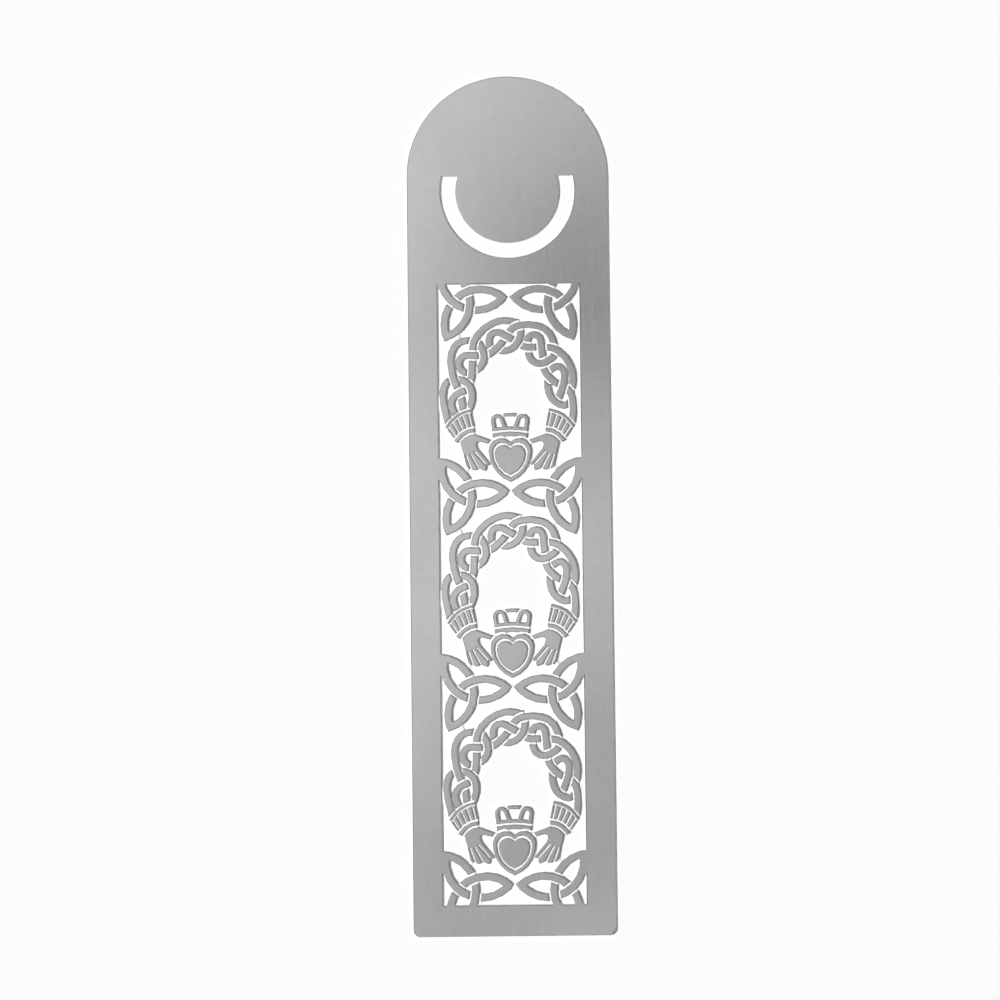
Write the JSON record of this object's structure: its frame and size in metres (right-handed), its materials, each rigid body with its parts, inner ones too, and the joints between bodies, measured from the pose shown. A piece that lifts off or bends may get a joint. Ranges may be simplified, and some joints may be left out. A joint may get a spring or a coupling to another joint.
{
  "type": "page clip bookmark",
  "caption": "Flat etched steel bookmark with a springy round clip tongue in its rounded head and a long window of interlaced knots, braided wreaths, hands and crowned hearts.",
  "frame": {"origin": "middle of the strip's outline, on its underside", "axes": "+X across the strip to its right side as seen from the face, +Y along it to the rounded head, +Z out of the etched face"},
  "size_m": [0.0254, 0.108, 0.0003],
  "materials": {
    "sheet_steel": "satin, fine grain along the strip",
    "fretwork_steel": "satin raised lines with matt half-etched grooves"
  },
  "bodies": {
    "plate": {"frame_plate": "sheet_steel", "knot_1_left": "fretwork_steel", "knot_1_right": "fretwork_steel", "knot_2_left": "fretwork_steel", "knot_2_right": "fretwork_steel", "knot_3_left": "fretwork_steel", "knot_3_right": "fretwork_steel", "knot_4_left": "fretwork_steel", "knot_4_right": "fretwork_steel", "wreath_1": "fretwork_steel", "left_hand_1": "fretwork_steel", "right_hand_1": "fretwork_steel", "crown_1": "fretwork_steel", "heart_1": "fretwork_steel", "wreath_2": "fretwork_steel", "left_hand_2": "fretwork_steel", "right_hand_2": "fretwork_steel", "crown_2": "fretwork_steel", "heart_2": "fretwork_steel", "wreath_3": "fretwork_steel", "left_hand_3": "fretwork_steel", "right_hand_3": "fretwork_steel", "crown_3": "fretwork_steel", "heart_3": "fretwork_steel"},
    "tongue": {"clip_tongue": "sheet_steel"}
  },
  "joints": [
    {"name": "tongue_flex", "type": "hinge", "parent": "plate", "child": "tongue", "pos_m": [0, 0.04127, 0.00015], "axis": [-1, 0, 0], "range_deg": [0, 8], "stiffness_Nm_per_rad": 1}
  ]
}
